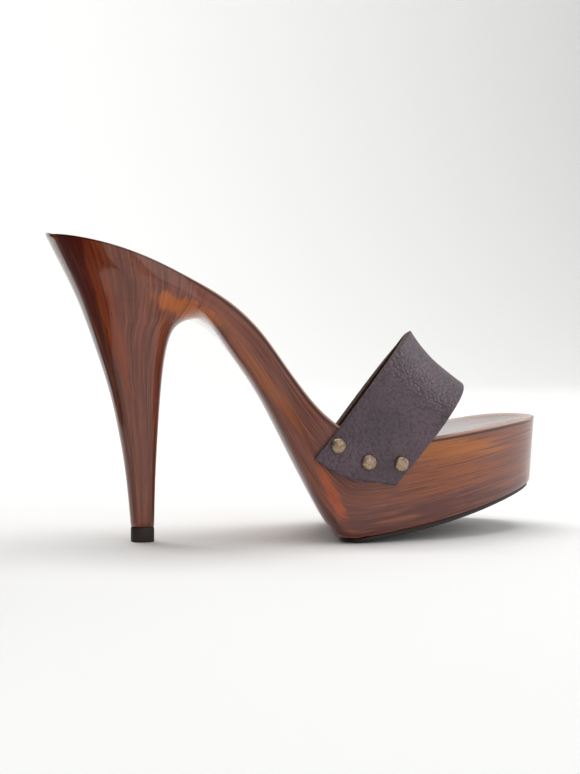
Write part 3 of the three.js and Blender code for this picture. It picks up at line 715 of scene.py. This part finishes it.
# Moulded rubber sheet: matt, with a fine crepe grain that greys where it turns away.
moulded_rubber, tree = new_material("moulded_rubber")
place = add_node(tree, "ShaderNodeTexCoord").outputs["Object"]
crepe = add_node(tree, "ShaderNodeTexNoise", Vector=place, Scale=900.0, Detail=3.0).outputs["Fac"]
wear = add_node(tree, "ShaderNodeTexNoise", Vector=place, Scale=90.0, Detail=4.0).outputs["Fac"]
tone = blend(between(wear, 0.4, 0.7), linear("#1F1512"), linear("#3A2924"))
bump = add_node(tree, "ShaderNodeBump", Height=crepe, Strength=0.4, Distance=0.0002)
add_surface(
    tree,
    Base_Color=tone,
    Roughness=between(wear, 0.3, 0.7, 0.5, 0.75),
    IOR=1.52,
    Normal=bump.outputs[0],
)
sole.data.materials.append(moulded_rubber)
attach(sole, "root")
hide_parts("outsole")

# The heel lift: a small block of hard rubber fixed under the tip, with its edges eased and a fine
# seam against the wood.
foot_section = Section(last)
foot_steps = 14
foot_outline = []
for side in (-1, 1):
    line = []
    for k in range(foot_steps + 1):
        t = foot_section.round + (1 - foot_section.round) * math.cos(k / foot_steps * math.pi / 2)
        line.append(foot_section.point(t, side * foot_section.width(t)))
    for k in range(1, foot_steps + 1):
        share_in = math.sin(k / foot_steps * math.pi / 2) ** (2 / edge_power)
        t = max(0.0, foot_section.round * (1 - share_in))
        line.append(foot_section.point(t, side * foot_section.width(t)))
    foot_outline += line if side < 0 else line[::-1][:-1]
foot_centre = sum(foot_outline, Vector()) / len(foot_outline)
# Height and share of the outline, from the top to the floor
lift_levels = [
    (lift_height + 0.25, 0.9),
    (lift_height + 0.1, 0.93),
    (lift_height - 0.15, 0.985),
    (lift_height - 0.45, 1.0),
    (3, 1.0),
    (0.5, 1.0),
    (0.15, 0.98),
    (0, 0.93),
]
lift_points = []
lift_loops = []
for z, share_out in lift_levels:
    start = len(lift_points)
    lift_loops.append(list(range(start, start + len(foot_outline))))
    for p in foot_outline:
        moved = foot_centre + (p - foot_centre) * share_out
        lift_points.append(in_frame(Vector((moved.x, moved.y, z))))
lift_faces = loop_faces(lift_loops) + [tuple(lift_loops[0]), tuple(lift_loops[-1])]
lift_block = mesh_piece("heel_lift_block", lift_points, lift_faces)
tidy_mesh(lift_block)
lift_block.data.materials.append(moulded_rubber)
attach(lift_block, "root")
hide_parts("heel_lift")

# The strap: one band of 2.8 mm cowhide, pebbled on its outer side, bent over the foot and nailed to both
# sides of the body. Its edges are cut raw.
strap_thickness = 2.8
strap_lean = (51.2, 48)
strap_rise = (51.4, 26.2)
strap_drop = (16.6, 25.5)
strap_end_hollow = 1.4
strap_end_stand = 0.2
strap_lateral = (0.512, 0.692)
strap_medial = (0.637, 0.818)
strap_power = 2.55
strap_stand = fit_gap + strap_thickness / 2


def mix(pair, share_of):
    """A value between a pair's back and front."""
    return pair[0] + (pair[1] - pair[0]) * share_of


def wall_point(x, z, side):
    """The body's side wall at an x and z, with the lower rounding left out."""
    section_gap = 16  # about the widest distance between two sections
    s = place_where(lambda w: w.ox + w.skew * side * w.edge, x)
    t = 1.0
    for _ in range(30):
        v = Section(s)
        y = side * v.edge * (1 - wall_draft * (1 - t))
        t = (z - v.iz) / (v.oz - v.iz)
        s += min(0.5, max(-0.5, (v.point(t, y).x - x) / section_gap))
    v = Section(s)
    return v.point(t, side * v.edge * (1 - wall_draft * (1 - t)))


def end_drop(across):
    """How far the strap's end reaches below the footbed's edge, along the lean."""
    return mix(strap_drop, across) - 4 * strap_end_hollow * across * (1 - across)


rim_cache = {}


def rim_point(across, side):
    """Where a line of the strap crosses the footbed's edge."""
    key = (round(across, 6), side)
    if key not in rim_cache:
        x = length * mix(strap_lateral if side < 0 else strap_medial, across)
        v = Section(place_where(lambda w: w.ox + w.skew * side * w.edge, x))
        rim_cache[key] = v.point(1, side * v.edge)
    return rim_cache[key].copy()


def strap_middle(across, along):
    """The strap's middle surface: across from back to front, along -1 to 2 from its outer to inner end."""
    angle = math.radians(mix(strap_lean, across))
    lean = Vector((math.cos(angle), 0, math.sin(angle)))
    side = -1 if along < 0.5 else 1
    down = max(-along, along - 1)
    if down > 0:
        want = rim_point(across, side) - lean * (end_drop(across) * down)
        wall = wall_point(want.x, want.z, side)
        wall.y += side * (strap_stand + strap_end_stand * down)
        return wall
    outer = rim_point(across, -1)
    inner = rim_point(across, 1)
    outer.y -= strap_stand
    inner.y += strap_stand
    turn = math.pi * along
    over = math.copysign(abs(math.cos(turn)) ** (2 / strap_power), math.cos(turn))
    up = max(0.0, math.sin(turn)) ** (2 / strap_power)
    return (outer + inner) / 2 - (inner - outer) / 2 * over + lean * (mix(strap_rise, across) * up)


end_steps, over_steps, across_steps = 14, 110, 40
strap_alongs = [-1 + k / end_steps for k in range(end_steps)]
strap_alongs += [k / over_steps for k in range(over_steps + 1)]
strap_alongs += [1 + k / end_steps for k in range(1, end_steps + 1)]
strap_acrosses = [k / across_steps for k in range(across_steps + 1)]
sheet = np.array([[strap_middle(a, l) for a in strap_acrosses] for l in strap_alongs])
along_step = np.gradient(sheet, axis=0)
across_step = np.gradient(sheet, axis=1)
normals = -np.cross(along_step, across_step)
normals /= np.linalg.norm(normals, axis=2)[:, :, None]
if normals[len(strap_alongs) // 2, across_steps // 2, 2] < 0:
    normals = -normals


def eased_edge(place, out, toward, half, ease_radius):
    """The quarter round from a side of the band, half its thickness from the middle, to its cut edge."""
    arc = []
    for angle in (0, 30, 60, 90):
        a = math.radians(angle)
        rise = half - ease_radius * (1 - math.cos(a))
        arc.append(place - out * ease_radius * (1 - math.sin(a)) + toward * rise)
    return arc


# The band's cross section, around: outer side, front edge, inner side, back edge. The inner side of each
# end is pressed nearer to the wood.
half_thick = strap_thickness / 2
outer_ease, inner_ease = 0.5, 0.4
end_press = 0.25
strap_points = []
strap_loops = []
for along, middle, normal in zip(strap_alongs, sheet, normals):
    back_out = (middle[0] - middle[1]) / np.linalg.norm(middle[0] - middle[1])
    front_out = (middle[-1] - middle[-2]) / np.linalg.norm(middle[-1] - middle[-2])
    down = max(-along, along - 1, 0.0)
    inner_half = half_thick + end_press * ease(down, 0.02, 0.2)
    loop = [middle[j] + normal[j] * half_thick for j in range(1, across_steps)]
    loop += eased_edge(middle[-1], front_out, normal[-1], half_thick, outer_ease)
    loop += eased_edge(middle[-1], front_out, -normal[-1], inner_half, inner_ease)[::-1]
    loop += [middle[j] - normal[j] * inner_half for j in range(across_steps - 1, 0, -1)]
    loop += eased_edge(middle[0], back_out, -normal[0], inner_half, inner_ease)
    loop += eased_edge(middle[0], back_out, normal[0], half_thick, outer_ease)[::-1]
    start = len(strap_points)
    strap_points += [in_frame(Vector(p)) for p in loop]
    strap_loops.append(list(range(start, start + len(loop))))
strap_faces = loop_faces(strap_loops) + [tuple(strap_loops[0]), tuple(strap_loops[-1])]

# Which leather each face shows: 0 the grain side, 1 the flesh side, 2 the cut edge
points_around = len(strap_loops[0])
flesh_from = across_steps + 6
finish_around = []
for j in range(points_around):
    if j < across_steps or j >= points_around - 2:
        finish_around.append(0)
    elif flesh_from <= j < flesh_from + across_steps:
        finish_around.append(1)
    else:
        finish_around.append(2)
face_finish = finish_around * (len(strap_loops) - 1) + [2, 2]
band = mesh_piece("leather_strap", strap_points, strap_faces)

# Pebbled cowhide: dark plum-brown, semi-matt, with a shrunken grain of a little over a millimetre.
pebbled_cowhide, tree = new_material("pebbled_cowhide")
place = add_node(tree, "ShaderNodeTexCoord").outputs["Object"]
pebbles = add_node(
    tree, "ShaderNodeTexVoronoi", {"feature": "SMOOTH_F1"}, Vector=place, Scale=780.0, Smoothness=0.5
).outputs["Distance"]
crease = add_node(tree, "ShaderNodeTexNoise", Vector=place, Scale=700.0, Detail=4.0).outputs["Fac"]
cloud = add_node(tree, "ShaderNodeTexNoise", Vector=place, Scale=45.0, Detail=3.0).outputs["Fac"]
tone = blend(between(cloud, 0.35, 0.7), linear("#483740"), linear("#5A4650"))
# Painted shade: the valleys between the pebbles are darkened
tone = blend(between(pebbles, 0.4, 0.75, 0.0, 0.5), tone, linear("#2A1F24"))
raised = add_node(tree, "ShaderNodeBump", {"invert": True}, Height=pebbles, Strength=1.0, Distance=0.0004)
raised = raised.outputs[0]
bump = add_node(tree, "ShaderNodeBump", Height=crease, Strength=0.3, Distance=0.0003, Normal=raised)
add_surface(
    tree,
    Base_Color=tone,
    Roughness=between(crease, 0.3, 0.7, 0.36, 0.5),
    IOR=1.52,
    Normal=bump.outputs[0],
)

# The flesh side: smoothed suede, darker and dull.
smoothed_suede, tree = new_material("smoothed_suede")
place = add_node(tree, "ShaderNodeTexCoord").outputs["Object"]
fibre = add_node(tree, "ShaderNodeTexNoise", Vector=place, Scale=700.0, Detail=4.0).outputs["Fac"]
tone = blend(between(fibre, 0.35, 0.7), linear("#2A2226"), linear("#3A3034"))
bump = add_node(tree, "ShaderNodeBump", Height=fibre, Strength=0.4, Distance=0.0002)
add_surface(tree, Base_Color=tone, Roughness=0.85, IOR=1.45, Normal=bump.outputs[0])

# The cut edge: raw, dull fibre, brown where it took the dye.
raw_leather_edge, tree = new_material("raw_leather_edge")
place = add_node(tree, "ShaderNodeTexCoord").outputs["Object"]
fibre = add_node(tree, "ShaderNodeTexNoise", Vector=place, Scale=600.0, Detail=4.0).outputs["Fac"]
tone = blend(between(fibre, 0.35, 0.7), linear("#3E2C28"), linear("#60463C"))
bump = add_node(tree, "ShaderNodeBump", Height=fibre, Strength=0.4, Distance=0.0002)
add_surface(tree, Base_Color=tone, Roughness=0.8, IOR=1.45, Normal=bump.outputs[0])
for finish in (pebbled_cowhide, smoothed_suede, raw_leather_edge):
    band.data.materials.append(finish)
for face, finish in zip(band.data.polygons, face_finish):
    face.material_index = finish
tidy_mesh(band)
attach(band, "root")
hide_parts("strap")

# Six nails with domed heads of antiqued brass hold the strap, three on each side. Each is driven
# through the leather into the wood.
nail_head = 3.0
nail_head_height = 1.8
nail_brim = 0.5
nail_shank = 0.9
nail_length = 13
nail_sides = 40
dome_steps = 12
dome_dents = 0.07  # how far the dome departs from an even one
nail_spots = [("back", 0.085, 0.429), ("middle", 0.435, 0.533), ("front", 0.825, 0.547)]
# Radius and height of the nail's outline, from its point to the top of its head
nail_profile = [(0, -nail_length), (nail_shank, -nail_length + 2 * nail_shank), (nail_shank, -fit_gap)]
nail_profile += [(nail_head - 0.25, -fit_gap), (nail_head, -fit_gap + 0.15), (nail_head, nail_brim - 0.1)]
for k in range(1, dome_steps):
    a = k / dome_steps * math.pi / 2
    nail_profile.append((nail_head * math.cos(a), nail_brim + (nail_head_height - nail_brim) * math.sin(a)))
nail_profile.append((0, nail_head_height))

# Antiqued brass: warm grey-gold metal, mottled, with duller and rougher specks.
antiqued_brass, tree = new_material("antiqued_brass")
place = add_node(tree, "ShaderNodeTexCoord").outputs["Object"]
dents = add_node(tree, "ShaderNodeTexNoise", Vector=place, Scale=1500.0, Detail=2.0).outputs["Fac"]
tone = blend(between(dents, 0.3, 0.7), linear("#86705A"), linear("#B4A08A"))
bump = add_node(tree, "ShaderNodeBump", Height=dents, Strength=0.12, Distance=0.0002)
add_surface(
    tree,
    Base_Color=tone,
    Metallic=1.0,
    Roughness=between(dents, 0.35, 0.65, 0.5, 0.36),
    Normal=bump.outputs[0],
)
step = 0.01  # a small share of the strap, to read its slope at a nail
for side_name, side in (("lateral", -1), ("medial", 1)):
    for spot_name, across, down_by in nail_spots:
        along = -down_by if side < 0 else 1 + down_by
        across_run = strap_middle(across + step, along) - strap_middle(across - step, along)
        along_run = strap_middle(across, along + step) - strap_middle(across, along - step)
        normal = -along_run.cross(across_run).normalized()
        seat = strap_middle(across, along) + normal * (strap_thickness / 2 + fit_gap)
        turn = Vector((0, 1, 0)).rotation_difference(normal)
        points = []
        loops = []
        for radius, height in nail_profile:
            loops.append(list(range(len(points), len(points) + nail_sides)))
            for k in range(nail_sides):
                a = 2 * math.pi * k / nail_sides
                local = Vector((radius * math.cos(a), height, radius * math.sin(a)))
                if height > nail_brim:
                    local += local.normalized() * dome_dents * noise.noise(local * 1.3 + seat)
                points.append(in_frame(seat + turn @ local))
        stud = mesh_piece(f"stud_{side_name}_{spot_name}", points, loop_faces(loops))
        tidy_mesh(stud)
        stud.data.materials.append(antiqued_brass)
        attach(stud, "root")
        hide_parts(f"nail_{side_name}_{spot_name}")
